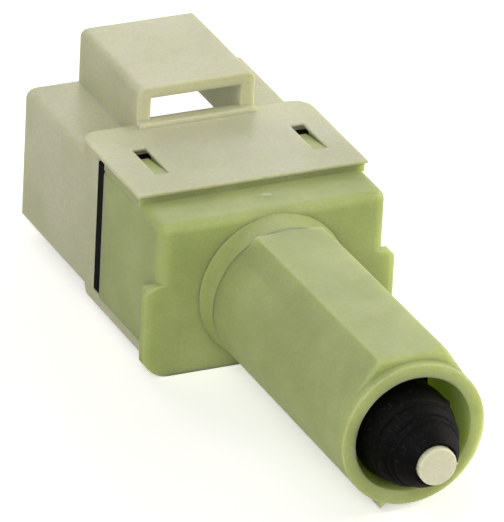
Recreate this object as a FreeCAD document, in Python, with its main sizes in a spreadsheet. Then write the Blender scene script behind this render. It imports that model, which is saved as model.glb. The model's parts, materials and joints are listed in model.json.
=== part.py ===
import FreeCAD, Part
import Sketcher

import math
import os
import re

# Brake light switch: a plunger switch with a tapered barrel, a moulded case and a plug socket.
# Frame: X = 0 is the middle of the case, Y = 0 its front face with the plunger pointing to -Y, and
# Z = 0 the height of the barrel's axis. Lengths are millimetres.

DIMENSIONS = [
    ("caseHalfWidth", 12.45, "half width of the case body"),
    ("caseTop", 8.6, "top of the case above the barrel's axis"),
    ("caseFloor", -6.2, "underside of the case body"),
    ("caseDepth", 14.4, "front face to rear edge"),
    ("caseWall", 1.35, "side, top and bottom walls"),
    ("frontWall", 2.0, "front wall"),
    ("caseCorner", 1.15, "radius of the upright front edges"),
    ("caseBrow", 1.0, "radius of the top front edge"),
    ("earHalfWidth", 13.9, "half width over the two ears"),
    ("earTop", 2.0, "top of the ears"),
    ("earDepth", 3.8, "front collar with the ears, front to back"),
    ("earLand", 0.9, "straight part of an ear before it slopes back"),
    ("collarBottom", -8.3, "underside of the front collar"),
    ("earTopRadius", 1.6, "radius on top of the ears"),
    ("earFootRadius", 3.0, "radius at the foot of the ears"),
    ("earFall", 1.8, "drop of an ear's top towards the rear"),
    ("earEdge", 0.8, "radius of an ear's front corner"),
    ("barrelSide", 0.15, "barrel's axis beside the middle of the case"),
    ("plungerSide", -0.2, "plunger's axis beside the middle of the case"),
    ("plungerDrop", -0.3, "plunger's axis below the barrel's"),
    ("rootRadius", 7.95, "barrel where it leaves the case"),
    ("noseRadius", 7.6, "straight end of the barrel"),
    ("noseLength", 4.6, "straight end of the barrel, length"),
    ("barrelLength", 33.3, "front face to rim"),
    ("boreRadius", 6.2, "open bore in the barrel's end"),
    ("boreDepth", 12.3, "rim to the bore's floor"),
    ("webLength", 4.5, "web that holds the guide bush"),
    ("bushRadius", 3.6, "guide bush, outside"),
    ("chamberRadius", 5.3, "chamber behind the web"),
    ("padHalfWidth", 3.6, "flat key on top of the barrel, half width"),
    ("padTop", 8.22, "flat of the key above the axis"),
    ("padStart", 3.2, "face to the key's rear end"),
    ("padEndGap", 1.0, "key's front end to the rim"),
    ("padRear", 7.7, "flat of the key above the axis at its rear end"),
    ("padFoot", 6.1, "feet of the key's flanks, half width"),
    ("padFootHeight", 4.5, "feet of the key's flanks above the axis"),
    ("padToe", 0.5, "radius of the key's front edge"),
    ("padEdge", 0.35, "radius of the key's upper edge"),
    ("ribAngle", 248.0, "degrees, where the moulding rib lies on the barrel"),
    ("ribHeight", 8.3, "tip of the moulding rib from the axis"),
    ("ribSpread", 5.0, "degrees, half the rib's root"),
    ("ribLength", 20.0, "length of the moulding rib"),
    ("landTop", 9.25, "raised land under the lap plate"),
    ("landFront", 5.6, "front of the land"),
    ("landPit", 8.0, "floor of the land's notches round the lugs"),
    ("pitHalfWidth", 1.0, "half width of a notch"),
    ("lugStart", 9.5, "front of the two snap lugs"),
    ("lugLength", 4.1, "length of a snap lug"),
    ("lugRise", 0.85, "height of a snap lug"),
    ("lugWidth", 1.35, "width of a snap lug"),
    ("slotLeft", -8.35, "middle of the left slot"),
    ("slotRight", 9.2, "middle of the right slot"),
    ("slotWidth", 1.55, "width of a slot"),
    ("slotFront", 9.4, "front end of the slots"),
    ("slotBack", 15.3, "rear end of the slots"),
    ("shellHalfWidth", 12.3, "plug socket, half width"),
    ("shellTop", 7.9, "plug socket, top"),
    ("shellFloor", -6.4, "plug socket, underside"),
    ("shellFront", 16.3, "plug socket, front"),
    ("shellBack", 35.0, "plug socket, mouth"),
    ("shellWall", 1.2, "side and bottom walls of the socket"),
    ("shellRoof", 0.9, "top wall of the socket"),
    ("shellDiaphragm", 1.4, "wall that the blades come through"),
    ("shellEdge", 1.0, "radius of the socket's long edges"),
    ("plateHalfWidth", 12.7, "lap plate over the case, half width"),
    ("plateFront", 5.4, "front edge of the lap plate"),
    ("plateBack", 20.6, "rear edge of the lap plate"),
    ("plateUnder", 9.27, "underside of the lap plate"),
    ("plateTop", 9.62, "top of the lap plate"),
    ("plateCorner", 2.0, "radius of the plate's rear corners"),
    ("plateEdge", 0.2, "radius of the plate's upper edge"),
    ("stripUnder", -7.4, "underside of the lower lap strip"),
    ("stripTop", -6.22, "top of the lower lap strip"),
    ("stripFront", 3.85, "front of the lower lap strip"),
    ("stripBack", 18.4, "rear of the lower lap strip"),
    ("stripHeel", 0.9, "radius at the strip's rear"),
    ("bridgeHalfWidth", 6.5, "latch bridge, half width outside"),
    ("bridgeInner", 5.05, "latch bridge, half width inside"),
    ("bridgeFront", 20.0, "front of the latch bridge"),
    ("bridgeBack", 34.9, "rear of the latch bridge"),
    ("bridgeTop", 13.86, "top of the latch bridge"),
    ("bridgeUnder", 12.6, "underside of the bridge's roof"),
    ("bridgeEdge", 0.8, "radius of the bridge's long edges"),
    ("sillTop", 10.15, "sill between the bridge's legs"),
    ("sillFront", 19.2, "front of the sill"),
    ("sealFront", 14.4, "base seal, front"),
    ("sealBack", 14.9, "base seal, rear"),
    ("baseBack", 16.25, "terminal base, rear"),
    ("baseFront", 13.0, "terminal base, front of its plug"),
    ("baseInset", 0.2, "seal and base set in from the case's sides"),
    ("plugGap", 0.05, "base plug to the case's walls"),
    ("springPost", 0.9, "radius of the post that centres the return spring"),
    ("springPostLength", 2.2, "length of that post"),
    ("poleOffset", 6.5, "contacts and blades from the middle"),
    ("bladeWidth", 2.8, "blade width"),
    ("bladeThick", 0.6, "blade thickness"),
    ("bladeHigh", 3.6, "upper blades above the axis"),
    ("bladeLow", -3.0, "lower blades"),
    ("bladeEnd", 27.0, "tips of the blades"),
    ("railHigh", 5.6, "upper rail of a lamp terminal"),
    ("railLow", -4.4, "lower rail of a lamp terminal"),
    ("railBend", 10.4, "where the rail starts down to the blade"),
    ("bladeBend", 12.2, "where the blade starts"),
    ("contactHigh", 3.7, "upper contacts"),
    ("contactLow", -3.0, "lower contacts"),
    ("contactRadius", 0.9, "contact rivet"),
    ("contactThick", 0.6, "contact rivet, height above its strip"),
    ("contactGap", 0.05, "between closed contacts"),
    ("lampLeg", 2.15, "front of the lamp terminals' legs"),
    ("legReach", 0.8, "leg beyond its contact's middle"),
    ("stripThick", 0.5, "moving bridges, thickness"),
    ("stripWidth", 1.9, "moving bridges, width"),
    ("bridgeLap", 0.8, "moving bridges beyond the contacts' middles"),
    ("carrierFront", 2.7, "contact carrier, front"),
    ("carrierBack", 6.7, "contact carrier, rear"),
    ("carrierHub", 4.4, "radius of the carrier's hub"),
    ("carrierBar", 1.5, "half height of the carrier's bar"),
    ("cageHalfWidth", 1.6, "cage round a bridge, half width"),
    ("cageHalfHeight", 1.7, "cage, half height"),
    ("cageWall", 0.5, "cage, front and rear walls"),
    ("cageSide", 0.5, "cage, side walls"),
    ("stemRadius", 2.4, "plunger in its guide"),
    ("stemGap", 0.05, "running clearance of the plunger"),
    ("tipRadius", 2.0, "plunger's tip"),
    ("tipReach", 6.4, "tip beyond the rim"),
    ("tipRound", 0.15, "radius on the tip's edge"),
    ("travel", 5.5, "plunger travel"),
    ("collarRadius", 4.4, "stop collar on the plunger"),
    ("collarThick", 1.6, "stop collar, thickness"),
    ("tubeRadius", 3.1, "hollow rear half of the plunger"),
    ("tubeBore", 2.15, "bore for the return spring"),
    ("tubeEnd", 6.9, "rear end of the plunger"),
    ("springRadius", 1.75, "return spring, middle of the wire"),
    ("springWire", 0.25, "return spring, wire radius"),
    ("springTurns", 6.0, "return spring, turns"),
    ("pressRadius", 0.65, "contact springs, middle of the wire"),
    ("pressWire", 0.14, "contact springs, wire radius"),
    ("pressTurns", 2.0, "contact springs, turns"),
    ("clipRadius", 3.9, "retaining clip, outside"),
    ("clipThick", 0.4, "retaining clip, thickness"),
    ("clipFront", 6.2, "rear of the hub, where the clip's groove starts"),
    ("bootFlange", 0.8, "boot flange, thickness"),
    ("bootFoot", 5.6, "radius of the boot's flange"),
    ("bootSkirt", 5.0, "radius of the boot's skirt"),
    ("bootNeck", 4.9, "radius of the boot inside its ring"),
    ("bootRingLength", 1.6, "boot ring, length"),
    ("bootRingBore", 5.1, "boot ring, bore"),
    ("bootWall", 0.6, "boot, wall"),
]

doc = FreeCAD.newDocument("brake_light_switch")
sheet = doc.addObject("Spreadsheet::Sheet", "Sizes")
for row, (alias, value, note) in enumerate(DIMENSIONS, start=1):
    sheet.set(f"A{row}", alias)
    sheet.set(f"B{row}", str(value))
    sheet.set(f"C{row}", note)
    sheet.setAlias(f"B{row}", alias)
doc.recompute()

ALIASES = {alias for alias, value, note in DIMENSIONS}
SIZE = {alias: value for alias, value, note in DIMENSIONS}
ORIGIN = -1
SUBPARTS = []


def bound(text):
    """The expression with each size's name pointing at the sheet."""
    return re.sub(r"[A-Za-z]\w*", lambda m: "Sizes." + m[0] if m[0] in ALIASES else m[0], str(text))


def value(text):
    """The number that an expression gives now."""
    return float(sheet.evalExpression(bound(text)))


def new_body(label):
    body = doc.addObject("PartDesign::Body", "Body_" + label)
    body.Label = label
    SUBPARTS.append(body)
    return body


def new_sketch(body, name, plane, offset, middle=("0", "0")):
    """An empty sketch on one of the body's own planes, moved along that plane's normal."""
    sketch = body.newObject("Sketcher::SketchObject", name)
    support = [f for f in body.Origin.OriginFeatures if f.Role == plane + "_Plane"][0]
    sketch.AttachmentSupport = [(support, "")]
    sketch.MapMode = "FlatFace"
    for axis, text in zip("xyz", (*middle, offset)):
        sketch.setExpression(f"AttachmentOffset.Base.{axis}", bound(text))
    return sketch


def pin_point(sketch, geometry, end, at):
    """Ties one end of a line, or a circle's middle, to the origin with two bound distances."""
    for kind, text in (("DistanceX", at[0]), ("DistanceY", at[1])):
        index = sketch.addConstraint(Sketcher.Constraint(kind, ORIGIN, 1, geometry, end, value(text)))
        sketch.setExpression(f"Constraints[{index}]", bound(text))


def round_corner(sketch, before, after, spot, reach, radius, at):
    """An arc between two lines, with the corner they would meet in pinned as a point."""
    toward = [(other - spot).normalize() for other in reach]
    half = toward[0].getAngle(toward[1]) / 2
    ends = [spot + way * (value(radius) / math.tan(half)) for way in toward]
    middle = spot + (toward[0] + toward[1]).normalize() * (value(radius) / math.sin(half))
    angles = [math.atan2(point.y - middle.y, point.x - middle.x) for point in ends]
    left = toward[0].cross(toward[1]).z < 0
    start, stop = angles if left else reversed(angles)
    circle = Part.Circle(middle, FreeCAD.Vector(0, 0, 1), value(radius))
    arc = sketch.addGeometry(Part.ArcOfCircle(circle, start, stop), False)
    corner = sketch.addGeometry(Part.Point(spot), True)
    pin_point(sketch, corner, 1, at)
    sketch.addConstraint(Sketcher.Constraint("PointOnObject", corner, 1, before))
    sketch.addConstraint(Sketcher.Constraint("PointOnObject", corner, 1, after))
    first, second = (1, 2) if left else (2, 1)
    sketch.addConstraint(Sketcher.Constraint("Tangent", before, 2, arc, first))
    sketch.addConstraint(Sketcher.Constraint("Tangent", after, 1, arc, second))
    index = sketch.addConstraint(Sketcher.Constraint("Radius", arc, value(radius)))
    sketch.setExpression(f"Constraints[{index}]", bound(radius))


def outline(body, name, plane, offset, points, middle=("0", "0")):
    """A closed outline of lines; a corner is a pair of expressions, with a third for its radius."""
    sketch = new_sketch(body, name, plane, offset, middle)
    spots = [FreeCAD.Vector(value(point[0]), value(point[1]), 0) for point in points]
    count = len(points)
    setback = []
    for i, point in enumerate(points):
        ways = [(spots[i - 1] - spots[i]).normalize(), (spots[(i + 1) % count] - spots[i]).normalize()]
        room = value(point[2]) / math.tan(ways[0].getAngle(ways[1]) / 2) if len(point) > 2 else 0
        setback.append([spots[i] + way * room for way in ways])
    for i in range(count):
        sketch.addGeometry(Part.LineSegment(setback[i][1], setback[(i + 1) % count][0]), False)
    for i, point in enumerate(points):
        before = (i - 1) % count
        if len(point) > 2:
            reach = (spots[i - 1], spots[(i + 1) % count])
            round_corner(sketch, before, i, spots[i], reach, point[2], point[:2])
        else:
            sketch.addConstraint(Sketcher.Constraint("Coincident", before, 2, i, 1))
            pin_point(sketch, i, 1, point)
    return sketch


def circles(body, name, plane, offset, rings):
    """Circles given as (middle, middle, radius) expressions."""
    sketch = new_sketch(body, name, plane, offset)
    for a, b, radius in rings:
        middle = FreeCAD.Vector(value(a), value(b), 0)
        i = sketch.addGeometry(Part.Circle(middle, FreeCAD.Vector(0, 0, 1), value(radius)), False)
        pin_point(sketch, i, 3, (a, b))
        index = sketch.addConstraint(Sketcher.Constraint("Radius", i, value(radius)))
        sketch.setExpression(f"Constraints[{index}]", bound(radius))
    return sketch


def rectangle(u0, u1, v0, v1):
    return [(u0, v0), (u1, v0), (u1, v1), (u0, v1)]


def pad(body, sketch, length):
    feature = body.newObject("PartDesign::Pad", sketch.Name + "_pad")
    feature.Profile = sketch
    feature.setExpression("Length", bound(length))
    sketch.Visibility = False
    return feature


def pocket(body, sketch, length):
    feature = body.newObject("PartDesign::Pocket", sketch.Name + "_cut")
    feature.Profile = sketch
    feature.setExpression("Length", bound(length))
    return feature


def pad_y(body, name, points, y0, y1):
    """Adds an outline drawn in X and Z, from y0 back to y1."""
    return pad(body, outline(body, name, "XZ", f"-({y1})", points), f"({y1}) - ({y0})")


def cut_y(body, name, points, y0, y1):
    """Cuts an outline drawn in X and Z, from y0 back to y1."""
    return pocket(body, outline(body, name, "XZ", f"-({y0})", points), f"({y1}) - ({y0})")


def disc_y(body, name, rings, y0, y1):
    return pad(body, circles(body, name, "XZ", f"-({y1})", rings), f"({y1}) - ({y0})")


def hole_y(body, name, rings, y0, y1):
    return pocket(body, circles(body, name, "XZ", f"-({y0})", rings), f"({y1}) - ({y0})")


def pad_x(body, name, points, x0, x1):
    """Adds an outline drawn in Y and Z, from x0 to x1."""
    return pad(body, outline(body, name, "YZ", x0, points), f"({x1}) - ({x0})")


def cut_x(body, name, points, x0, x1):
    return pocket(body, outline(body, name, "YZ", x1, points), f"({x1}) - ({x0})")


def pad_z(body, name, points, z0, z1):
    """Adds an outline drawn in X and Y, from z0 up to z1."""
    return pad(body, outline(body, name, "XY", z0, points), f"({z1}) - ({z0})")


def cut_z(body, name, points, z0, z1):
    return pocket(body, outline(body, name, "XY", z1, points), f"({z1}) - ({z0})")


def turn(body, name, points, kind="PartDesign::Revolution", middle=("0", "0")):
    """Turns an outline of (y, radius) corners about an axis along Y, to add or to cut."""
    sketch = outline(body, name, "YZ", middle[0], points, ("0", middle[1]))
    feature = body.newObject(kind, name + "_turn")
    feature.Profile = sketch
    feature.ReferenceAxis = (sketch, ["H_Axis"])
    feature.Angle = 360.0
    return feature


def edges(feature, test):
    """Names of the edges whose middle, direction and length pass the test."""
    doc.recompute()
    names = []
    for i, edge in enumerate(feature.Shape.Edges, start=1):
        middle = edge.valueAt((edge.FirstParameter + edge.LastParameter) / 2)
        if test(edge, middle):
            names.append(f"Edge{i}")
    return names


def soften(body, feature, radius, test, kind="Fillet"):
    """Rounds or bevels the edges that pass the test."""
    names = edges(feature, test)
    if not names:
        raise ValueError(f"{body.Label}: no edge to soften after {feature.Name}")
    result = body.newObject("PartDesign::" + kind, feature.Name + "_" + kind.lower())
    result.Base = (feature, names)
    result.setExpression("Radius" if kind == "Fillet" else "Size", bound(radius))
    return result


def near(a, b, slack=0.02):
    return abs(a - b) < slack


def straight(edge, axis):
    """True where the edge is a line along X, Y or Z."""
    if not isinstance(edge.Curve, (Part.Line, Part.LineSegment)):
        return False
    return near(abs(edge.tangentAt(edge.FirstParameter)["XYZ".index(axis)]), 1.0)


def switch_case():
    """Moulded case: box, front collar with two ears, tapered barrel with its key, bore and cavity."""
    s = SIZE
    body = new_body("switch_case")
    w = "caseHalfWidth"
    block = pad_y(body, "case_block", rectangle(f"-{w}", w, "caseFloor", "caseTop"), "0", "caseDepth")
    block = soften(body, block, "caseCorner",
                   lambda e, m: straight(e, "Z") and near(m.y, 0) and near(abs(m.x), s["caseHalfWidth"]))
    block = soften(body, block, "caseBrow", lambda e, m: straight(e, "X") and near(m.y, 0) and m.z > 0)
    collar = pad_y(body, "front_collar",
                   rectangle("-earHalfWidth", "earHalfWidth", "collarBottom", "earTop"), "0", "earDepth")
    collar = soften(body, collar, "earFootRadius",
                    lambda e, m: straight(e, "Y") and near(m.z, s["collarBottom"]))
    collar = soften(body, collar, "earTopRadius",
                    lambda e, m: straight(e, "Y") and near(m.z, s["earTop"]) and abs(m.x) > 13)
    for side, name in ((1, "right"), (-1, "left")):
        slope = [(f"{side} * (earHalfWidth + 1)", "-1"),
                 (f"{side} * (earHalfWidth - earEdge)", "-1"),
                 (f"{side} * (earHalfWidth - earEdge)", "0"),
                 (f"{side} * (earHalfWidth - 0.25 * earEdge)", "0.25 * earEdge"),
                 (f"{side} * earHalfWidth", "earLand"),
                 (f"{side} * caseHalfWidth", "earDepth"),
                 (f"{side} * caseHalfWidth", "earDepth + 1"),
                 (f"{side} * (earHalfWidth + 1)", "earDepth + 1")]
        cut_z(body, "ear_slope_" + name, slope, "collarBottom - 1", "earTop + 1")
        ends = sorted((f"{side} * caseHalfWidth", f"{side} * (earHalfWidth + 1)"), key=value)
        fall = [("earLand", "earTop + 1"), ("earLand", "earTop"), ("earDepth", "earTop - earFall"),
                ("earDepth + 1", "earTop - earFall"), ("earDepth + 1", "earTop + 1")]
        cut_x(body, "ear_top_" + name, fall, *ends)
    aside = ("barrelSide", "0")
    turn(body, "barrel", [("1", "0"), ("1", "rootRadius"), ("0", "rootRadius"),
                          ("-1.2", "rootRadius - 0.12"), ("-3", "rootRadius - 0.2"),
                          ("-(barrelLength - noseLength)", "noseRadius"), ("-barrelLength", "noseRadius"), ("-barrelLength", "0")], middle=aside)
    ends = []
    for name, place, top in (("rear", "padStart", "padRear"), ("front", "barrelLength - padEndGap", "padTop")):
        half = [("padHalfWidth", top), ("padFoot", "padFootHeight"), ("padFoot - 1.1", "padFootHeight - 2.5")]
        right = [(f"barrelSide + {x}", z) for x, z in half]
        left = [(f"barrelSide - ({x})", z) for x, z in reversed(half)]
        ends.append(outline(body, "key_" + name, "XZ", place, right + left))
    key = body.newObject("PartDesign::AdditiveLoft", "key")
    key.Profile = ends[0]
    key.Sections = ends[1:]
    key.Ruled = True
    toe = s["padEndGap"] - s["barrelLength"]
    key = soften(body, key, "padToe", lambda e, m: near(m.y, toe) and near(m.z, s["padTop"]))
    soften(body, key, "padEdge",
           lambda e, m: near(abs(m.x - s["barrelSide"]), s["padHalfWidth"], 0.05) and -30 < m.y < -5)
    lower = "ribAngle - ribSpread"
    upper = "ribAngle + ribSpread"
    pad_y(body, "moulding_rib",
          [(f"barrelSide + 6.9 * cos({lower})", f"6.9 * sin({lower})"),
           ("barrelSide + ribHeight * cos(ribAngle)", "ribHeight * sin(ribAngle)"),
           (f"barrelSide + 6.9 * cos({upper})", f"6.9 * sin({upper})")],
          "-barrelLength", "-(barrelLength - ribLength)")
    web_front = "-(barrelLength - boreDepth)"
    web_back = "-(barrelLength - boreDepth - webLength)"
    turn(body, "bore", [("-(barrelLength + 1)", "0"), ("-(barrelLength + 1)", "boreRadius"),
                        (web_front, "boreRadius"), (web_front, "0")], "PartDesign::Groove", aside)
    turn(body, "chamber", [(f"{web_front} - 1", "0"), (f"{web_front} - 1", "bushRadius"),
                           (web_back, "bushRadius"), (web_back, "chamberRadius"),
                           ("frontWall + 0.5", "chamberRadius"), ("frontWall + 0.5", "0")],
         "PartDesign::Groove", ("plungerSide", "plungerDrop"))
    inner = "(caseHalfWidth - caseWall)"
    cut_y(body, "cavity", rectangle("-" + inner, inner, "caseFloor + caseWall", "caseTop - caseWall"),
          "frontWall", "caseDepth + 1")
    pad_y(body, "roof_land", rectangle(f"-{w}", w, "caseTop - 0.3", "landTop"), "landFront", "caseDepth")
    for name in ("slotLeft", "slotRight"):
        cut_z(body, "pit_" + name, rectangle(f"{name} - pitHalfWidth", f"{name} + pitHalfWidth", "lugStart",
                                             "caseDepth + 1"), "landPit", "landTop + 1")
        pad_x(body, "lug_" + name, [("lugStart", "landPit - 0.2"), ("lugStart", "caseTop + lugRise"),
                                    ("lugStart + lugLength", "landPit + 0.1"),
                                    ("lugStart + lugLength", "landPit - 0.2")],
              f"{name} - lugWidth / 2", f"{name} + lugWidth / 2")
    return body


def connector_housing():
    """Plug socket with its hollow latch bridge, the lap plate over the case and the lap strip under it."""
    s = SIZE
    body = new_body("connector_housing")
    w = "shellHalfWidth"
    shell = pad_y(body, "shell", rectangle("-" + w, w, "shellFloor", "shellTop"), "shellFront", "shellBack")
    shell = soften(body, shell, "shellEdge", lambda e, m: straight(e, "Y") and m.z > 0)
    p = "plateHalfWidth"
    plate = pad_z(body, "lap_plate", [("-" + p, "plateFront"), (p, "plateFront"),
                                      (p, "plateBack", "plateCorner"), ("-" + p, "plateBack", "plateCorner")],
                  "plateUnder", "plateTop")
    soften(body, plate, "plateEdge", lambda e, m: near(m.z, s["plateTop"]) and m.y > s["plateFront"] + 0.1)
    pad_x(body, "plate_root", rectangle("shellFront", "plateBack - 0.6", "shellTop - 1.2", "plateUnder + 0.1"),
          "-" + w, w)
    strip = pad_x(body, "lap_strip",
                  [("stripFront", "stripUnder"), ("stripFront", "stripTop"), ("shellFront", "stripTop"),
                   ("shellFront", "shellFloor + 0.6"), ("stripBack", "shellFloor + 0.6"),
                   ("stripBack", "stripUnder")], "-" + w, w)
    soften(body, strip, "stripHeel",
           lambda e, m: straight(e, "X") and near(m.y, s["stripBack"]) and near(m.z, s["stripUnder"]))
    b = "bridgeHalfWidth"
    bridge = pad_y(body, "bridge", rectangle("-" + b, b, "shellTop - 0.5", "bridgeTop"),
                   "bridgeFront", "bridgeBack")
    soften(body, bridge, "bridgeEdge", lambda e, m: straight(e, "Y") and near(m.z, s["bridgeTop"]))
    pad_y(body, "sill", rectangle("-" + b, b, "plateTop - 0.4", "sillTop"), "sillFront", "plateBack")
    i = "bridgeInner"
    cut_y(body, "bridge_way", rectangle("-" + i, i, "sillTop", "bridgeUnder"), "sillFront - 1",
          "bridgeBack + 1")
    cut_y(body, "bridge_well", rectangle("-" + i, i, "shellTop - 1.5", "sillTop + 0.1"), "plateBack",
          "bridgeBack + 1")
    inner = "(shellHalfWidth - shellWall)"
    cut_y(body, "socket", rectangle("-" + inner, inner, "shellFloor + shellWall", "shellTop - shellRoof"),
          "shellFront + shellDiaphragm", "shellBack + 1")
    for name in ("slotLeft", "slotRight"):
        cut_z(body, "slot_" + name,
              rectangle(f"{name} - slotWidth / 2", f"{name} + slotWidth / 2", "slotFront", "slotBack"),
              "plateUnder - 0.2", "plateTop + 0.5")
    for side in (-1, 1):
        for level in ("bladeHigh", "bladeLow"):
            cut_y(body, f"way_{level}_{side + 1}",
                  rectangle(f"{side} * poleOffset - bladeWidth / 2", f"{side} * poleOffset + bladeWidth / 2",
                            f"{level} - bladeThick / 2", f"{level} + bladeThick / 2"),
                  "shellFront - 0.2", "shellFront + shellDiaphragm + 0.2")
    return body


def blade_ways(body, front, back):
    """The four slots that hold the blades."""
    for side in (-1, 1):
        for level in ("bladeHigh", "bladeLow"):
            cut_y(body, f"hold_{level}_{side + 1}",
                  rectangle(f"{side} * poleOffset - bladeWidth / 2", f"{side} * poleOffset + bladeWidth / 2",
                            f"{level} - bladeThick / 2", f"{level} + bladeThick / 2"),
                  f"({front}) - 0.2", f"({back}) + 0.2")


def terminal_base():
    """Dark base plate with the plug that closes the case, four blade ways and the spring post."""
    body = new_body("terminal_base")
    out = "(caseHalfWidth - baseInset)"
    pad_y(body, "base_plate", rectangle("-" + out, out, "caseFloor + baseInset", "caseTop - baseInset"),
          "sealBack", "baseBack")
    plug = "(caseHalfWidth - caseWall - plugGap)"
    pad_y(body, "base_plug", rectangle("-" + plug, plug, "caseFloor + caseWall + plugGap",
                                       "caseTop - caseWall - plugGap"), "baseFront", "sealBack")
    disc_y(body, "spring_post", [("plungerSide", "plungerDrop", "springPost")], "baseFront - springPostLength", "baseFront")
    blade_ways(body, "baseFront", "baseBack")
    return body


def base_seal():
    """Flat rubber frame between the case's rear edge and the base plate."""
    body = new_body("base_seal")
    out = "(caseHalfWidth - baseInset)"
    pad_y(body, "seal", rectangle("-" + out, out, "caseFloor + baseInset", "caseTop - baseInset"),
          "sealFront", "sealBack")
    plug = "(caseHalfWidth - caseWall - plugGap)"
    cut_y(body, "seal_way", rectangle("-" + plug, plug, "caseFloor + caseWall + plugGap",
                                      "caseTop - caseWall - plugGap"), "sealFront - 0.2", "sealBack + 0.2")
    return body


def lamp_terminal(label, rail, blade, contact):
    """A bent strip: leg behind the fixed contact, rail along the case's wall, and blade."""
    body = new_body(label)
    sign = 1 if rail == "railHigh" else -1
    t = f"({sign} * bladeThick / 2)"
    points = [("lampLeg", f"{rail} + {t}"), (f"railBend + bladeThick / 3", f"{rail} + {t}"),
              ("bladeBend + bladeThick / 3", f"{blade} + {t}"), ("bladeEnd", f"{blade} + {t}"),
              ("bladeEnd", f"{blade} - {t}"), ("bladeBend", f"{blade} - {t}"),
              ("railBend", f"{rail} - {t}"), ("lampLeg + bladeThick", f"{rail} - {t}"),
              ("lampLeg + bladeThick", f"{contact} - {sign} * legReach"),
              ("lampLeg", f"{contact} - {sign} * legReach")]
    strip = pad_x(body, label + "_strip", points, "-poleOffset - bladeWidth / 2",
                  "-poleOffset + bladeWidth / 2")
    soften(body, strip, "bladeThick / 2.5",
           lambda e, m: straight(e, "Z") and near(m.y, SIZE["bladeEnd"]), "Chamfer")
    return body


def cruise_terminal(label, blade, contact):
    """A shorter strip: upright leg behind the fixed contact, and blade."""
    body = new_body(label)
    sign = 1 if blade == "bladeHigh" else -1
    t = f"({sign} * bladeThick / 2)"
    front = "baseFront - 0.1 - bladeThick"
    back = "baseFront - 0.1"
    points = [(front, f"{contact} - {sign} * legReach"), (back, f"{contact} - {sign} * legReach"),
              (back, f"{blade} - {t}"), ("bladeEnd", f"{blade} - {t}"), ("bladeEnd", f"{blade} + {t}"),
              (back, f"{blade} + {t}"), (back, f"{contact} + {sign} * legReach"),
              (front, f"{contact} + {sign} * legReach")]
    strip = pad_x(body, label + "_strip", points, "poleOffset - bladeWidth / 2",
                  "poleOffset + bladeWidth / 2")
    soften(body, strip, "bladeThick / 2.5",
           lambda e, m: straight(e, "Z") and near(m.y, SIZE["bladeEnd"]), "Chamfer")
    return body


def contact_pair(label, side, y0, y1):
    """Two contact rivets, one above and one below the axis."""
    body = new_body(label)
    middle = f"{side} * poleOffset + plungerSide"
    disc_y(body, label + "_discs", [(middle, "contactHigh", "contactRadius"),
                                    (middle, "contactLow", "contactRadius")], y0, y1)
    return body


def single_contact(label, side, level, y0, y1):
    body = new_body(label)
    face = disc_y(body, label + "_disc", [(f"{side} * poleOffset", level, "contactRadius")], y0, y1)
    return body


def moving_bridge(label, side, y0):
    """Flat copper strip that joins two contacts, with a rivet at each end."""
    body = new_body(label)
    middle = f"{side} * poleOffset + plungerSide"
    pad_y(body, label + "_strip", rectangle(f"{middle} - stripWidth / 2", f"{middle} + stripWidth / 2",
                                            "contactLow - bridgeLap", "contactHigh + bridgeLap"),
          y0, f"{y0} + stripThick")
    return body


def plunger():
    """Turned and moulded plunger: round tip, guided stem, stop collar and hollow rear half."""
    s = SIZE
    body = new_body("plunger")
    tip = "-(barrelLength + tipReach)"
    collar = "-(barrelLength - boreDepth - webLength - 0.05)"
    rod = turn(body, "plunger_body",
               [(tip, "0"), (tip, "tipRadius"), ("-(barrelLength + 1)", "tipRadius"),
                ("-(barrelLength - 0.4)", "stemRadius"), (collar, "stemRadius"), (collar, "collarRadius"),
                (f"{collar} + collarThick", "collarRadius"), (f"{collar} + collarThick", "tubeRadius"),
                ("carrierFront", "tubeRadius"), ("carrierFront", "tubeRadius - 0.3"),
                ("clipFront", "tubeRadius - 0.3"), ("clipFront", "tubeRadius - 0.6"),
                ("clipFront + clipThick", "tubeRadius - 0.6"),
                ("clipFront + clipThick", "tubeRadius - 0.3"), ("tubeEnd", "tubeRadius - 0.3"),
                ("tubeEnd", "tubeBore"), (f"{collar} + 1", "tubeBore"), (f"{collar} + 1", "0")])
    soften(body, rod, "tipRound",
           lambda e, m: near(m.y, -s["barrelLength"] - s["tipReach"]) and e.Length > 1)
    return lowered(body)


def lowered(item):
    """Sets a sub-part drawn about its own axis onto the plunger's axis."""
    item.setExpression("Placement.Base.x", bound("plungerSide"))
    item.setExpression("Placement.Base.z", bound("plungerDrop"))
    return item


def contact_carrier():
    """Moulded cross bar on the plunger, with an open cage for each moving bridge."""
    body = new_body("contact_carrier")
    reach = "(poleOffset + cageHalfWidth)"
    disc_y(body, "hub", [("0", "0", "carrierHub")], "carrierFront", "clipFront")
    pad_y(body, "bar", rectangle("-" + reach, reach, "-carrierBar", "carrierBar"), "carrierFront",
          "carrierBack")
    for side in (-1, 1):
        middle = f"{side} * poleOffset"
        pad_y(body, f"cage_{side + 1}",
              rectangle(f"{middle} - cageHalfWidth", f"{middle} + cageHalfWidth", "-cageHalfHeight",
                        "cageHalfHeight"), "carrierFront", "carrierBack")
        cut_z(body, f"cage_way_{side + 1}",
              rectangle(f"{middle} - cageHalfWidth + cageSide", f"{middle} + cageHalfWidth - cageSide",
                        "carrierFront + cageWall", "carrierBack - cageWall"),
              "-cageHalfHeight - 0.5", "cageHalfHeight + 0.5")
    hole_y(body, "clip_room", [("0", "0", "clipRadius + 0.25")], "clipFront", "carrierBack + 0.5")
    hole_y(body, "hub_bore", [("0", "0", "tubeRadius - 0.3")], "carrierFront - 0.5", "carrierBack + 0.5")
    return lowered(body)


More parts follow.
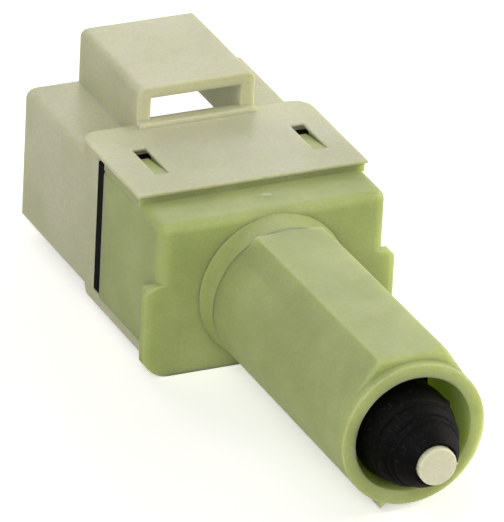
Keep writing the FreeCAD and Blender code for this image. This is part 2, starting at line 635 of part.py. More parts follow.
def ring(label, outer, inner, y0, y1):
    """A plain ring about the plunger's axis."""
    body = new_body(label)
    disc_y(body, label + "_disc", [("0", "0", outer), ("0", "0", inner)], y0, y1)
    return lowered(body)


def boot_ring():
    """Press-in ring that holds the boot's flange: outside true to the barrel, bore true to the plunger."""
    body = new_body("boot_ring")
    front = "-(barrelLength - boreDepth) - bootFlange - bootRingLength"
    disc_y(body, "boot_ring_disc", [("barrelSide", "0", "boreRadius")], front, f"{front} + bootRingLength")
    hole_y(body, "boot_ring_bore", [("plungerSide", "plungerDrop", "bootRingBore")], f"{front} - 0.2",
           f"{front} + bootRingLength + 0.2")
    return body


def retaining_clip():
    """Open steel clip in the plunger's groove, behind the carrier."""
    body = ring("retaining_clip", "clipRadius", "tubeRadius - 0.6", "clipFront", "clipFront + clipThick")
    cut_y(body, "clip_mouth", rectangle("-1.9", "1.9", "0", "clipRadius + 1"), "clipFront - 0.2",
          "clipFront + clipThick + 0.2")
    return body


def bellows_boot():
    """Rubber boot: flange in the bore, straight skirt, three stepped folds and the lip on the plunger."""
    body = new_body("bellows_boot")
    rim = "-barrelLength"
    floor = "-(barrelLength - boreDepth)"
    ring_front = f"{floor} - bootFlange - bootRingLength"
    folds = [(-3.1, 5.0), (-2.4, 5.65), (-1.0, 5.25), (-0.1, 4.75), (0.4, 4.25), (1.5, 4.6), (2.0, 4.25),
             (2.4, 3.75), (3.0, 4.0), (3.4, 3.35), (4.0, 3.55), (4.8, 2.9), (5.35, 2.6)]
    points = [(floor, "bootFoot"), (f"{floor} - bootFlange", "bootFoot"),
              (f"{floor} - bootFlange", "bootNeck"), (f"{ring_front} - 0.1", "bootNeck"),
              (f"{ring_front} - 0.8", "bootSkirt")]
    points += [(f"{rim} - ({reach})", f"{radius}") for reach, radius in folds]
    points += [(f"{rim} - 5.35", "tipRadius + 0.03"), (f"{rim} - 4.3", "tipRadius + 0.03")]
    points += [(f"{rim} - ({reach})", f"{radius} - bootWall") for reach, radius in (folds[7], folds[4])]
    points += [(f"{ring_front} - 0.8", "bootSkirt - bootWall"), (f"{ring_front} - 0.1", "bootNeck - bootWall"),
               (floor, "bootNeck - bootWall")]
    turn(body, "boot", points)
    return lowered(body)


def coil(label, middle, start, end, radius, wire, turns):
    """A coil spring along Y: a square wire carried along a helix, with the ends on their seats."""
    pitch = (end - start - 2 * wire) / turns
    helix = Part.makeHelix(pitch, pitch * turns, radius)
    path = Part.Wire(helix.Edges)
    corners = [math.radians(90 * i + 45) for i in range(5)]
    section = Part.makePolygon([FreeCAD.Vector(radius + wire * math.cos(a), 0, wire * math.sin(a))
                                for a in corners])
    shape = path.makePipeShell([section], True, True)
    item = doc.addObject("Part::Feature", "Coil_" + label)
    item.Shape = shape
    item.Label = label
    place = FreeCAD.Rotation(FreeCAD.Vector(1, 0, 0), -90)
    item.Placement = FreeCAD.Placement(FreeCAD.Vector(middle[0], start + wire, middle[1]), place)
    SUBPARTS.append(item)
    return item


def terminals_and_contacts():
    for level, rail, blade, contact in (("upper", "railHigh", "bladeHigh", "contactHigh"),
                                        ("lower", "railLow", "bladeLow", "contactLow")):
        lamp_terminal(f"lamp_terminal_{level}", rail, blade, contact)
        cruise_terminal(f"cruise_terminal_{level}", blade, contact)
        single_contact(f"lamp_fixed_contact_{level}", -1, contact, "lampLeg + bladeThick",
                       "lampLeg + bladeThick + contactThick")
        single_contact(f"cruise_fixed_contact_{level}", 1, contact,
                       "baseFront - 0.1 - bladeThick - contactThick", "baseFront - 0.1 - bladeThick")
    lamp = "lampLeg + bladeThick + contactThick + contactGap"
    contact_pair("lamp_moving_contacts", -1, lamp, f"{lamp} + contactThick")
    moving_bridge("lamp_bridge", -1, f"{lamp} + contactThick")
    cruise = "baseFront - 0.1 - bladeThick - contactThick - contactGap - travel"
    contact_pair("cruise_moving_contacts", 1, f"{cruise} - contactThick", cruise)
    moving_bridge("cruise_bridge", 1, f"{cruise} - contactThick - stripThick")
    axis = (SIZE["plungerSide"], SIZE["plungerDrop"])
    press = (SIZE["pressRadius"], SIZE["pressWire"], SIZE["pressTurns"])
    lamp_rear = value(f"{lamp} + contactThick + stripThick")
    coil("lamp_contact_spring", (axis[0] - SIZE["poleOffset"], axis[1]), lamp_rear,
         value("carrierBack - cageWall"), *press)
    cruise_front = value(f"{cruise} - contactThick - stripThick")
    coil("cruise_contact_spring", (axis[0] + SIZE["poleOffset"], axis[1]), value("carrierFront + cageWall"),
         cruise_front, *press)


def main():
    switch_case()
    connector_housing()
    terminal_base()
    base_seal()
    terminals_and_contacts()
    plunger()
    contact_carrier()
    retaining_clip()
    web = "-(barrelLength - boreDepth)"
    ring("guide_bush", "bushRadius", "stemRadius + stemGap", web, f"{web} + webLength")
    boot_ring()
    bellows_boot()
    spring_front = value(f"{web} + webLength + 1.05")
    coil("return_spring", (SIZE["plungerSide"], SIZE["plungerDrop"]), spring_front, SIZE["baseFront"], SIZE["springRadius"],
         SIZE["springWire"], SIZE["springTurns"])
    doc.recompute()
    check()
    os.makedirs("parts", exist_ok=True)
    for item in SUBPARTS:
        item.Shape.exportStep(f"parts/{item.Label}.step")
        print(f"{item.Label:26s} solids {len(item.Shape.Solids)}  volume {item.Shape.Volume:9.2f}")


def check():
    """Stops before anything is written if an object failed or a cut took nothing away."""
    for item in doc.Objects:
        if {"Invalid", "Error"} & set(item.State):
            raise RuntimeError(f"{item.Label}: {item.State}")
    for item in SUBPARTS:
        if item.Shape.isNull() or not item.Shape.isValid() or not item.Shape.Solids:
            raise RuntimeError(f"{item.Label}: no valid solid")
        for feature in getattr(item, "Group", []):
            if feature.TypeId in ("PartDesign::Pocket", "PartDesign::Groove"):
                if feature.Shape.Volume > feature.BaseFeature.Shape.Volume - 0.01:
                    raise RuntimeError(f"{item.Label}: {feature.Name} cuts nothing")


main()
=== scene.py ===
"""Looks of the brake light switch: finishes, boot, springs, small moulding marks and the stage."""

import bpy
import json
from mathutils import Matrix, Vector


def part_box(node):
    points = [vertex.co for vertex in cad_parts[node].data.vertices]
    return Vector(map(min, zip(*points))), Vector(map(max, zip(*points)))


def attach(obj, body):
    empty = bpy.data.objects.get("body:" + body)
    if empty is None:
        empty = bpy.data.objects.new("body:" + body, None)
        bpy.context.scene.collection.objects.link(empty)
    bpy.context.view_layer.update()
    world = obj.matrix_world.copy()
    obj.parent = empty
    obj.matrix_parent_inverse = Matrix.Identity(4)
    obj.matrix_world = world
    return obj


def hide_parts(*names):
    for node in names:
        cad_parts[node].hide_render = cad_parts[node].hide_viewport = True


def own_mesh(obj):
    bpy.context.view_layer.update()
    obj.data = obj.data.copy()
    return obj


bl_info = {
    "name": "Brake Light Switch Looks",
    "version": (1, 0, 0),
    "blender": (4, 5, 0),
    "location": "View3D > Sidebar > Switch",
    "description": "Builds the finishes and soft pieces of a brake light switch on its fixed frame",
    "category": "Object",
}

import json
import math

import bpy
import numpy as np
from bpy.props import FloatProperty, IntProperty, PointerProperty
from mathutils import Matrix, Vector

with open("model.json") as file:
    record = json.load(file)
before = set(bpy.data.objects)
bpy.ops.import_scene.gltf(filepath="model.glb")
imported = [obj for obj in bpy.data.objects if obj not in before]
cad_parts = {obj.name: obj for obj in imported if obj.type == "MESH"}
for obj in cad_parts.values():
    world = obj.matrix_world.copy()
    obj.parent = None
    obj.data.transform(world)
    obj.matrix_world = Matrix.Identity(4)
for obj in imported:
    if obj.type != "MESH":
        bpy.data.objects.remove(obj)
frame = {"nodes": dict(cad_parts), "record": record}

MM = 0.001
BARREL = np.array([0.15, 0.0]) * MM
PLUNGER = np.array([-0.2, -0.3]) * MM
RIM = -33.3 * MM


# Surfaces

def mesh_object(name, points, faces, material, smooth=True, closed=True):
    """A mesh in one material from points and faces, linked to the scene. A closed one faces outwards."""
    mesh = bpy.data.meshes.new(name)
    mesh.from_pydata(points.reshape(-1, 3), [], faces)
    mesh.validate()
    if closed and enclosed(mesh) < 0:
        mesh.flip_normals()
    mesh.polygons.foreach_set("use_smooth", np.full(len(mesh.polygons), smooth))
    mesh.materials.append(material)
    mesh.update()
    made = bpy.data.objects.new(name, mesh)
    bpy.context.scene.collection.objects.link(made)
    return made


def enclosed(mesh):
    """Six times the volume inside a closed mesh, below zero where its faces look inwards."""
    mesh.calc_loop_triangles()
    corners = np.array([triangle.vertices for triangle in mesh.loop_triangles])
    a, b, c = np.array([vertex.co for vertex in mesh.vertices])[corners].transpose(1, 0, 2)
    return float((a * np.cross(b, c)).sum())


def grid_faces(rows, columns, close_rows=False, close_columns=False):
    """Quads of a grid of rows by columns; either way round can close on itself."""
    down = np.arange(rows if close_rows else rows - 1)
    along = np.arange(columns if close_columns else columns - 1)
    i, j = np.meshgrid(down, along, indexing="ij")
    below, right = (i + 1) % rows, (j + 1) % columns
    here, there = i * columns, below * columns
    quads = np.stack([here + j, here + right, there + right, there + j], -1)
    return quads.reshape(-1, 4).tolist()


def smooth_line(points, per_span):
    """A curve through the points: each span is a cubic whose end slopes follow the neighbouring points."""
    p = np.asarray(points, float)
    q = np.concatenate([2 * p[:1] - p[1:2], p, 2 * p[-1:] - p[-2:-1]])
    t = np.linspace(0, 1, per_span, endpoint=False)[:, None, None]
    a, b, c, d = q[:-3], q[1:-2], q[2:-1], q[3:]
    square, cube = 2 * a - 5 * b + 4 * c - d, 3 * b - a - 3 * c + d
    spans = 0.5 * (2 * b + (c - a) * t + square * t ** 2 + cube * t ** 3)
    return np.concatenate([spans.transpose(1, 0, 2).reshape(-1, p.shape[1]), p[-1:]])


def turned(profile, around, segments):
    """Rings of (y, radius) turned about a line along Y through around = (x, z)."""
    angle = np.linspace(0, 2 * math.pi, segments, endpoint=False)
    y, radius = profile[:, 0:1], profile[:, 1:2]
    x = around[0] + radius * np.sin(angle)
    z = around[1] + radius * np.cos(angle)
    return np.stack([x, np.broadcast_to(y, x.shape), z], -1)


def tube(path, radius, sides):
    """Rings of one radius round a path of points, square to it, with the last ring at the path's end."""
    step = np.gradient(path, axis=0)
    step /= np.linalg.norm(step, axis=1, keepdims=True)
    across = np.cross(step, [0.0, 1.0, 0.0])
    across /= np.linalg.norm(across, axis=1, keepdims=True)
    up = np.cross(across, step)
    angle = np.linspace(0, 2 * math.pi, sides, endpoint=False)
    ring = np.cos(angle)[None, :, None] * across[:, None] + np.sin(angle)[None, :, None] * up[:, None]
    return path[:, None] + radius * ring


# Finishes

def linear(code, alpha=1.0):
    """Scene-linear colour of an sRGB hex code."""
    s = np.array([int(code[i:i + 2], 16) / 255 for i in (1, 3, 5)])
    low, high = s / 12.92, ((s + 0.055) / 1.055) ** 2.4
    return (*np.where(s <= 0.04045, low, high).tolist(), alpha)


def add(tree, kind, inputs=None, stops=(), **settings):
    """Adds a shader node with its properties and colour stops; inputs take values or other nodes' sockets."""
    node = tree.nodes.new("ShaderNode" + kind)
    for key, setting in settings.items():
        setattr(node, key, setting)
    for index, (place, code) in enumerate(stops):
        band = node.color_ramp.elements
        element = band[index] if index < len(band) else band.new(place)
        element.position, element.color = place, linear(code)
    for key, feed in (inputs or {}).items():
        if isinstance(feed, bpy.types.NodeSocket):
            tree.links.new(feed, node.inputs[key])
        else:
            node.inputs[key].default_value = feed
    return node


def blank(name):
    """A new material with an empty node tree."""
    material = bpy.data.materials.new(name)
    material.use_nodes = True
    material.node_tree.nodes.clear()
    return material, material.node_tree


def moulded(name, stops, cloud_mm, grain_mm, grain, roughness, depth=0.0, tint="#FFFFFF", edge_mm=0.0,
            gloss=0.3, speckle=0.06):
    """A moulded plastic: slow clouds of colour, a fine grain in the skin, and light that soaks in."""
    material, tree = blank(name)
    place = add(tree, "TexCoord").outputs["Object"]
    cloud = add(tree, "TexNoise", {"Vector": place, "Scale": 1000 / cloud_mm, "Detail": 3.0,
                                   "Roughness": 0.55})
    skin = add(tree, "TexNoise", {"Vector": place, "Scale": 1000 / grain_mm, "Detail": 4.0, "Roughness": 0.6})
    grains = skin.outputs["Fac"]
    hue = add(tree, "ValToRGB", {"Fac": cloud.outputs["Fac"]}, stops=stops)
    speck = add(tree, "MapRange", {"Value": grains, "From Min": 0.3, "From Max": 0.7,
                                   "To Min": 1.0 - speckle, "To Max": 1.0 + speckle})
    color = add(tree, "VectorMath", {0: hue.outputs["Color"], 1: speck.outputs["Result"]},
                operation="MULTIPLY")
    bump = add(tree, "Bump", {"Height": grains, "Strength": grain, "Distance": 0.05 * MM})
    if edge_mm:
        soft = add(tree, "Bevel", {"Radius": edge_mm * MM}, samples=6)
        tree.links.new(soft.outputs["Normal"], bump.inputs["Normal"])
    rough = add(tree, "MapRange", {"Value": grains, "From Min": 0.3, "From Max": 0.7,
                                   "To Min": roughness - 0.05, "To Max": roughness + 0.06})
    shader = add(tree, "BsdfPrincipled", {
        "Base Color": color.outputs["Vector"], "Roughness": rough.outputs["Result"],
        "Normal": bump.outputs["Normal"], "Subsurface Weight": 1.0 if depth else 0.0,
        "Subsurface Radius": linear(tint)[:3], "Subsurface Scale": depth * MM, "Specular IOR Level": gloss})
    add(tree, "OutputMaterial", {"Surface": shader.outputs["BSDF"]})
    return material


def metal(name, bright, dull, roughness, grain_mm):
    """A drawn or stamped metal: fine scratches along the piece, and a tone that drifts between two."""
    material, tree = blank(name)
    place = add(tree, "TexCoord").outputs["Object"]
    stretch = add(tree, "Mapping", {"Vector": place, "Scale": (1.0, 0.12, 1.0)})
    lines = add(tree, "TexNoise", {"Vector": stretch.outputs["Vector"], "Scale": 1000 / grain_mm,
                                   "Detail": 3.0})
    tone = add(tree, "ValToRGB", {"Fac": lines.outputs["Fac"]}, stops=[(0.35, dull), (0.65, bright)])
    rough = add(tree, "MapRange", {"Value": lines.outputs["Fac"], "To Min": roughness - 0.06,
                                   "To Max": roughness + 0.08})
    shader = add(tree, "BsdfPrincipled", {"Base Color": tone.outputs["Color"], "Metallic": 1.0,
                                          "Roughness": rough.outputs["Result"]})
    add(tree, "OutputMaterial", {"Surface": shader.outputs["BSDF"]})
    return material


FINISHES = {}
GREEN = [(0.35, "#A5B172"), (0.5, "#ADB97A"), (0.66, "#B6C184")]
NATURAL = [(0.35, "#C5C7A4"), (0.5, "#CCCEAD"), (0.66, "#D2D3B6")]


def make_finishes():
    """Every finish of the switch, named for what it is."""
    return {
        # Pale green PBT: a satin skin with faint flow clouds, and light that soaks in.
        "case_plastic": moulded("Pale green PBT, satin", GREEN, cloud_mm=9.0, grain_mm=0.35, grain=0.30,
                                roughness=0.46, depth=7.0, tint="#B8BC94", edge_mm=0.4),
        # The same green plastic for thin blends and marks, which no light soaks through.
        "case_skin": moulded("Pale green PBT, thin", GREEN, cloud_mm=9.0, grain_mm=0.35, grain=0.30,
                             roughness=0.46),
        # The scar where a gate was torn off, paler and rougher than the skin round it.
        "case_scar": moulded("Pale green PBT, torn", [(0.4, "#BCC796"), (0.6, "#C8D2A6")], cloud_mm=0.6,
                             grain_mm=0.2, grain=0.5, roughness=0.6),
        # Natural nylon 66: milky off-white, with a little light in its thin walls.
        "housing_nylon": moulded("Natural nylon 66, satin", NATURAL, cloud_mm=11.0, grain_mm=0.4, grain=0.28,
                                 roughness=0.42, depth=1.7, tint="#D8CC98", edge_mm=0.5),
        # Black PBT of the terminal base: near black, darkened below the plastic's own black as painted shade
        # for the gap between case and housing, with hardly a sheen.
        "base_plastic": moulded("Black PBT, matt", [(0.4, "#040404"), (0.6, "#080807")], cloud_mm=5.0,
                                grain_mm=0.25, grain=0.3, roughness=0.8, gloss=0.08),
        # Nitrile rubber of the flat seal: near black and dull, darkened below the rubber's own black as
        # painted shade for the same gap.
        "seal_rubber": moulded("Black nitrile rubber", [(0.4, "#050505"), (0.6, "#0A0A09")], cloud_mm=3.0,
                               grain_mm=0.2, grain=0.4, roughness=0.8, gloss=0.08),
        # Moulded rubber of the boot: black, with specks of dust.
        "boot_rubber": moulded("Black EPDM rubber", [(0.48, "#020202"), (0.6, "#060606"), (0.72, "#20201E")],
                               cloud_mm=0.4, grain_mm=0.16, grain=0.6, roughness=0.58, gloss=0.07),
        # Acetal of the plunger and its bush: waxy cream.
        "plunger_plastic": moulded("Cream acetal", [(0.4, "#DDDEC4"), (0.6, "#E6E7D0")], cloud_mm=4.0,
                                   grain_mm=0.3, grain=0.15, roughness=0.38, depth=0.7, tint="#F0D890",
                                   edge_mm=0.1),
        # Stamped brass strip: yellow, with fine scratches along it.
        "terminal_brass": metal("Stamped brass strip", "#D9C07A", "#B89A55", 0.3, 0.5),
        # Silver alloy of the contact rivets: a pale, soft shine.
        "contact_silver": metal("Silver contact alloy", "#D8D6CF", "#B4B1A9", 0.34, 0.4),
        # Drawn spring wire and clip strip: a grey shine in lines.
        "spring_steel": metal("Drawn spring steel", "#B5B6B8", "#8A8B8E", 0.32, 0.3),
    }


# Settings

class BootSettings(bpy.types.PropertyGroup):
    segments: IntProperty(name="Segments", description="Steps round the boot", default=144, min=24)
    wall: FloatProperty(name="Wall", description="Thickness of the rubber", default=0.5 * MM, unit="LENGTH",
                        subtype="DISTANCE", precision=5)
    nick: FloatProperty(name="Flash nick", description="Height of the torn flash on the first fold",
                        default=0.28 * MM, unit="LENGTH", subtype="DISTANCE", precision=5)


class SpringSettings(bpy.types.PropertyGroup):
    wire: FloatProperty(name="Wire", description="Radius of the return spring's wire", default=0.25 * MM,
                        unit="LENGTH", subtype="DISTANCE", precision=5)
    turns: FloatProperty(name="Turns", description="Turns of the return spring", default=8.0)
    sides: IntProperty(name="Sides", description="Steps round the wire", default=12, min=6)


class MouldingSettings(bpy.types.PropertyGroup):
    ring_steps: IntProperty(name="Ring steps", description="Steps round the root ring", default=180, min=24)
    slot_left: FloatProperty(name="Left slot", description="Middle of the left slot", default=-8.35 * MM,
                             unit="LENGTH", subtype="DISTANCE", precision=5)
    slot_right: FloatProperty(name="Right slot", description="Middle of the right slot", default=9.2 * MM,
                              unit="LENGTH", subtype="DISTANCE", precision=5)
    gate_x: FloatProperty(name="Gate X", description="Gate mark across the case", default=0.52 * MM,
                          unit="LENGTH", subtype="DISTANCE", precision=5)
    gate_y: FloatProperty(name="Gate Y", description="Gate mark behind the front face", default=3.46 * MM,
                          unit="LENGTH", subtype="DISTANCE", precision=5)


class StageSettings(bpy.types.PropertyGroup):
    azimuth: FloatProperty(name="Azimuth", description="Camera's bearing in degrees", default=-25.51)
    elevation: FloatProperty(name="Elevation", description="Camera's height in degrees", default=26.92)
    roll: FloatProperty(name="Roll", description="Camera's roll in degrees", default=2.96)
    distance: FloatProperty(name="Distance", description="Camera to the case along its view",
                            default=811.15 * MM, unit="LENGTH", subtype="DISTANCE")
    side: FloatProperty(name="Side", description="Aim to the side", default=1.386 * MM, unit="LENGTH",
                        subtype="DISTANCE")
    rise: FloatProperty(name="Rise", description="Aim upwards", default=-9.935 * MM, unit="LENGTH",
                        subtype="DISTANCE")
    lens: FloatProperty(name="Lens", description="Focal length in millimetres", default=554.2)


# Pieces

class SWITCH_OT_finishes(bpy.types.Operator):
    """Gives every node of the frame its finish"""
    bl_idname = "switch.finishes"
    bl_label = "Finishes"

    def execute(self, context):
        FINISHES.update(make_finishes())
        for part in frame["record"]["subparts"]:
            node = frame["nodes"][part["node"]]
            node.data.materials.clear()
            node.data.materials.append(FINISHES[part["material_slot"]])
        return {"FINISHED"}


class SWITCH_OT_boot(bpy.types.Operator):
    """Bellows boot: a skirt in the bore, stepped folds round the plunger and a lip at its tip"""
    bl_idname = "switch.boot"
    bl_label = "Rubber boot"

    # The boot's outline, as millimetres beyond the rim and radius.
    FOLDS = [(-11.5, 4.9), (-9.0, 4.95), (-6.0, 4.9), (-3.6, 4.85), (-2.9, 4.92), (-2.3, 5.05), (-1.6, 5.12),
             (-0.9, 5.08), (-0.2, 4.94), (0.5, 4.76), (0.95, 4.58), (1.12, 4.36), (1.25, 4.28), (1.38, 4.35),
             (1.55, 4.45), (1.85, 4.4), (2.2, 4.2), (2.5, 3.95), (2.62, 3.74), (2.74, 3.67), (2.86, 3.73),
             (3.02, 3.81), (3.25, 3.72), (3.42, 3.48), (3.54, 3.37), (3.66, 3.42), (3.85, 3.46), (4.2, 3.32),
             (4.7, 3.02), (5.2, 2.7), (5.55, 2.46), (5.73, 2.32), (5.78, 2.2)]
    LEAST_RADIUS = 2.08 * MM
    NICK_PLACE = np.array([3.86, 0.19, 3.07]) * MM
    NICK_SIZE = np.array([0.4, 0.35, 0.4]) * MM

    def execute(self, context):
        made = context.scene.switch_boot
        outside = smooth_line([(RIM - reach * MM, radius * MM) for reach, radius in self.FOLDS], 4)
        inside = outside[::-1] - [0, made.wall]
        inside[:, 1] = np.maximum(inside[:, 1], self.LEAST_RADIUS)
        points = turned(np.concatenate([outside, inside]), PLUNGER, made.segments)
        points = self.nicked(points, made.nick)
        faces = grid_faces(points.shape[0], made.segments, True, True)
        boot = mesh_object("rubber_boot", points, faces, FINISHES["boot_rubber"])
        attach(boot, "case")
        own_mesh(boot)
        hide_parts("bellows_boot")
        return {"FINISHED"}

    def nicked(self, points, height):
        """Torn flash on the first fold: points move outwards by a bell curve of their distance to it."""
        place = np.array([PLUNGER[0], RIM, PLUNGER[1]]) + self.NICK_PLACE
        away = np.linalg.norm((points - place) / self.NICK_SIZE, axis=-1)
        radial = points - np.array([PLUNGER[0], 0, PLUNGER[1]])
        radial[..., 1] = 0
        radial /= np.linalg.norm(radial, axis=-1, keepdims=True)
        return points + radial * (height * np.exp(-away ** 2))[..., None]


class SWITCH_OT_mouldings(bpy.types.Operator):
    """Small moulded forms: ring at the barrel's root, snap lugs' ramps, gate mark, flash on the tip"""
    bl_idname = "switch.mouldings"
    bl_label = "Small mouldings"

    def execute(self, context):
        made = context.scene.switch_mouldings
        self.root_ring(made)
        for side, name in ((made.slot_left, "lug_ramp_left"), (made.slot_right, "lug_ramp_right")):
            self.lug_ramp(name, side)
        self.gate_mark(made)
        self.tip_flash()
        return {"FINISHED"}

    # The root ring's section as millimetres behind the case's face and radius.
    ROOT = [(0.4, 7.5), (0.4, 8.08), (0.04, 8.08), (-0.05, 8.05), (-0.2, 8.0), (-0.5, 7.955), (-1.0, 7.915),
            (-1.5, 7.878), (-1.9, 7.844), (-2.3, 7.802), (-2.7, 7.755), (-2.9, 7.72), (-2.95, 7.68),
            (-2.95, 7.5)]

    def root_ring(self, made):
        """The soft band at the barrel's root: its section turned about the barrel's middle line."""
        section = np.array(self.ROOT) * MM
        points = turned(section, BARREL, made.ring_steps)
        faces = grid_faces(len(section), made.ring_steps, True, True)
        self.keep("root_ring", points, faces, "case_plastic", "case_skin", "case")

    # A snap lug's side, as millimetres behind the case's face and height.
    LUG = [(9.46, 8.05), (9.46, 9.5), (9.9, 9.5), (14.35, 8.85), (14.35, 8.05)]

    def lug_ramp(self, name, middle):
        """A wedge that fills a slot of the lap plate: nearly flush in front, lower behind."""
        half = 0.7 * MM
        outline = np.array(self.LUG) * MM
        points = np.array([[(middle + side * half, y, z) for y, z in outline] for side in (-1, 1)])
        count = len(outline)
        faces = [[i, (i + 1) % count, count + (i + 1) % count, count + i] for i in range(count)]
        faces += [list(range(count))[::-1], list(range(count, 2 * count))]
        self.keep(name, points, faces, "case_plastic", "case_skin", "case", False)

    def gate_mark(self, made):
        """A faint oval where the plastic was let in: rings that shrink as they rise, and a flat top."""
        rise, radius = np.array([0.0, 0.05, 0.05, 0.0]), np.array([1.0, 0.8, 0.3, 0.0])
        angle = np.linspace(0, 2 * math.pi, 40, endpoint=False)
        wide, deep = 0.62 * MM, 0.42 * MM
        points = np.stack([made.gate_x + wide * radius[:-1, None] * np.cos(angle),
                           made.gate_y + deep * radius[:-1, None] * np.sin(angle),
                           8.59 * MM + rise[:-1, None] * MM + 0 * angle], -1)
        faces = grid_faces(3, 40, False, True)
        faces.append([2 * 40 + i for i in range(40)])
        faces.append(list(range(40))[::-1])
        self.keep("gate_mark", points, faces, "case_plastic", "case_scar", "case")

    def tip_flash(self):
        """Two fins of flash where the mould's halves met: a triangle carried along each side of the tip."""
        front, back, radius = -39.68 * MM, -39.1 * MM, 2.0 * MM
        inner, outer, half = radius - 0.1 * MM, radius + 0.14 * MM, 0.13 * MM
        for side, name in ((-1, "tip_flash_left"), (1, "tip_flash_right")):
            section = [(inner, -half), (outer, 0.0), (inner, half)]
            points = np.array([[(PLUNGER[0] + side * u, y, PLUNGER[1] + v) for u, v in section]
                               for y in (front, back)])
            faces = [[0, 1, 4, 3], [1, 2, 5, 4], [2, 0, 3, 5], [2, 1, 0], [3, 4, 5]]
            if side > 0:
                faces = [face[::-1] for face in faces]
            self.keep(name, points, faces, "plunger_plastic", "plunger_plastic", "plunger", False)

    def keep(self, name, points, faces, slot, finish, body, smooth=True):
        """Adds a piece in its finish, carried by one body."""
        piece = mesh_object(name, points, faces, FINISHES[finish], smooth)
        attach(piece, body)


class SWITCH_OT_springs(bpy.types.Operator):
    """Return spring: round wire along a helix whose end turns lie flat"""
    bl_idname = "switch.springs"
    bl_label = "Return spring"

    def execute(self, context):
        made = context.scene.switch_spring
        low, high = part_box("return_spring")
        reach = 1.75 * MM
        turn = np.linspace(0, made.turns, int(made.turns * 40))
        rise = np.clip((turn - 0.8) / (made.turns - 1.6), 0, 1)
        y = low.y + made.wire + rise * (high.y - low.y - 2 * made.wire)
        angle = 2 * math.pi * turn
        path = np.stack([PLUNGER[0] + reach * np.cos(angle), y, PLUNGER[1] + reach * np.sin(angle)], -1)
        points = tube(path, made.wire, made.sides)
        faces = grid_faces(len(path), made.sides, False, True)
        faces.append(list(range(made.sides)))
        faces.append([(len(path) - 1) * made.sides + i for i in range(made.sides)][::-1])
        spring = mesh_object("return_coil", points, faces, FINISHES["spring_steel"])
        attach(spring, "case")
        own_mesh(spring)
        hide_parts("return_spring")
        return {"FINISHED"}


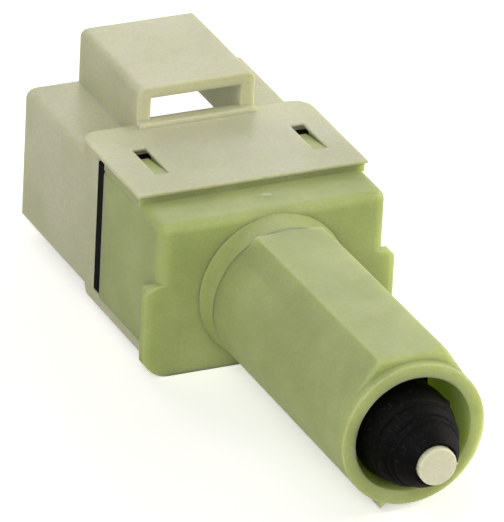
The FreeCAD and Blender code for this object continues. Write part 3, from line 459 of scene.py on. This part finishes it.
class SWITCH_OT_stage(bpy.types.Operator):
    """Camera, soft lights, pale floor and white surround"""
    bl_idname = "switch.stage"
    bl_label = "Stage"

    # The camera's place was fitted to the photo from this point of the case.
    FITTED_FROM = Vector((0.2, 0, 8.26)) * MM
    FLOOR_REACH = 3.0
    FLOOR_GAP = 0.02 * MM
    LIGHTS = [
        # Name, place, aim, size in metres, watts, colour.
        ("Overhead", (0.10, -0.10, 0.55), (0, 0, 0), 0.50, 0.15, "#FFFDF6"),
        ("Upper left", (-0.40, -0.20, 0.42), (0, 0, 0), 0.40, 1.1, "#FFFDF8"),
        ("Front left", (-0.25, -0.55, 0.30), (0, 0, 0), 0.40, 1.6, "#FFFCF4"),
        ("Right", (0.60, -0.10, 0.25), (0, 0, 0), 0.40, 3.3, "#FFFAEE"),
        ("Rear", (0.05, 0.50, 0.35), (0, 0, 0), 0.50, 1.45, "#FFFDF8"),
    ]

    def execute(self, context):
        self.camera(context)
        for name, place, target, size, power, code in self.LIGHTS:
            data = bpy.data.lights.new(name, "AREA")
            data.size, data.energy, data.color = size, power, linear(code)[:3]
            lamp = bpy.data.objects.new(name, data)
            lamp.location = place
            lamp.rotation_euler = (Vector(target) - Vector(place)).to_track_quat("-Z", "Y").to_euler()
            context.scene.collection.objects.link(lamp)
        self.floor()
        self.surround(context)
        context.scene.view_settings.view_transform = "Standard"
        return {"FINISHED"}

    def camera(self, context):
        """The camera that took the photo: bearing, height and roll, with a small aim to the side."""
        s = context.scene.switch_stage
        a, e, r = (math.radians(v) for v in (s.azimuth, s.elevation, s.roll))
        back = Vector((math.sin(a) * math.cos(e), -math.cos(a) * math.cos(e), math.sin(e)))
        right = (-back).cross(Vector((0, 0, 1))).normalized()
        up = right.cross(-back)
        right, up = right * math.cos(r) + up * math.sin(r), up * math.cos(r) - right * math.sin(r)
        data = bpy.data.cameras.new("Camera")
        data.lens, data.sensor_width, data.clip_start = s.lens, 36, 0.01
        camera = bpy.data.objects.new("Camera", data)
        place = -(s.side * right + s.rise * up - s.distance * back) - self.FITTED_FROM
        camera.matrix_world = Matrix.Translation(place) @ Matrix((right, up, back)).transposed().to_4x4()
        context.scene.collection.objects.link(camera)
        context.scene.camera = camera

    def floor(self):
        """A plain pale sheet under the part."""
        material, tree = blank("Pale paper floor")
        sheet = add(tree, "BsdfDiffuse", {"Color": (0.95, 0.95, 0.95, 1.0)})
        seen = add(tree, "LightPath").outputs["Is Camera Ray"]
        extra = add(tree, "Math", {0: seen, 1: 0.45}, operation="MULTIPLY").outputs[0]
        glow = add(tree, "Emission", {"Strength": extra})
        shader = add(tree, "AddShader", {0: sheet.outputs[0], 1: glow.outputs[0]})
        add(tree, "OutputMaterial", {"Surface": shader.outputs[0]})
        level = min(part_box(node)[0].z for node in frame["nodes"]) - self.FLOOR_GAP
        reach = self.FLOOR_REACH
        corners = np.array([(-reach, -reach, level), (reach, -reach, level), (reach, reach, level),
                            (-reach, reach, level)])
        mesh_object("floor", corners, [[0, 1, 2, 3]], material, False, False)

    def surround(self, context):
        """White where the camera looks past the part; a softer white lights it."""
        world = bpy.data.worlds.new("Surround")
        world.use_nodes = True
        tree = world.node_tree
        tree.nodes.clear()
        path = add(tree, "LightPath").outputs
        seen = path["Is Camera Ray"]
        for ray in ("Is Glossy Ray", "Is Transmission Ray"):
            seen = add(tree, "Math", {0: seen, 1: path[ray]}, operation="MAXIMUM").outputs[0]
        white = add(tree, "Background", {"Color": (1, 1, 1, 1), "Strength": 1.0})
        soft = add(tree, "Background", {"Color": linear("#F6F8FF"), "Strength": 0.04})
        mix = add(tree, "MixShader", {0: seen, 1: soft.outputs[0], 2: white.outputs[0]})
        add(tree, "OutputWorld", {"Surface": mix.outputs[0]})
        context.scene.world = world


class SWITCH_PT_panel(bpy.types.Panel):
    """Lists the switch's builders"""
    bl_idname = "SWITCH_PT_panel"
    bl_label = "Brake light switch"
    bl_space_type = "VIEW_3D"
    bl_region_type = "UI"
    bl_category = "Switch"

    def draw(self, context):
        for step in STEPS:
            self.layout.operator(step.bl_idname)
        for group in GROUPS:
            settings = getattr(context.scene, group)
            box = self.layout.box()
            for key in settings.__annotations__:
                box.prop(settings, key)


STEPS = (SWITCH_OT_finishes, SWITCH_OT_boot, SWITCH_OT_mouldings, SWITCH_OT_springs, SWITCH_OT_stage)
GROUPS = {"switch_boot": BootSettings, "switch_mouldings": MouldingSettings, "switch_spring": SpringSettings,
          "switch_stage": StageSettings}


def register():
    for kind in (*GROUPS.values(), *STEPS, SWITCH_PT_panel):
        bpy.utils.register_class(kind)
    for name, kind in GROUPS.items():
        setattr(bpy.types.Scene, name, PointerProperty(type=kind))


def unregister():
    for name in GROUPS:
        delattr(bpy.types.Scene, name)
    for kind in reversed((*GROUPS.values(), *STEPS, SWITCH_PT_panel)):
        bpy.utils.unregister_class(kind)


def main():
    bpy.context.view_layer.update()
    register()
    for step in STEPS:
        group, name = step.bl_idname.split(".")
        getattr(getattr(bpy.ops, group), name)()


if __name__ == "__main__":
    main()
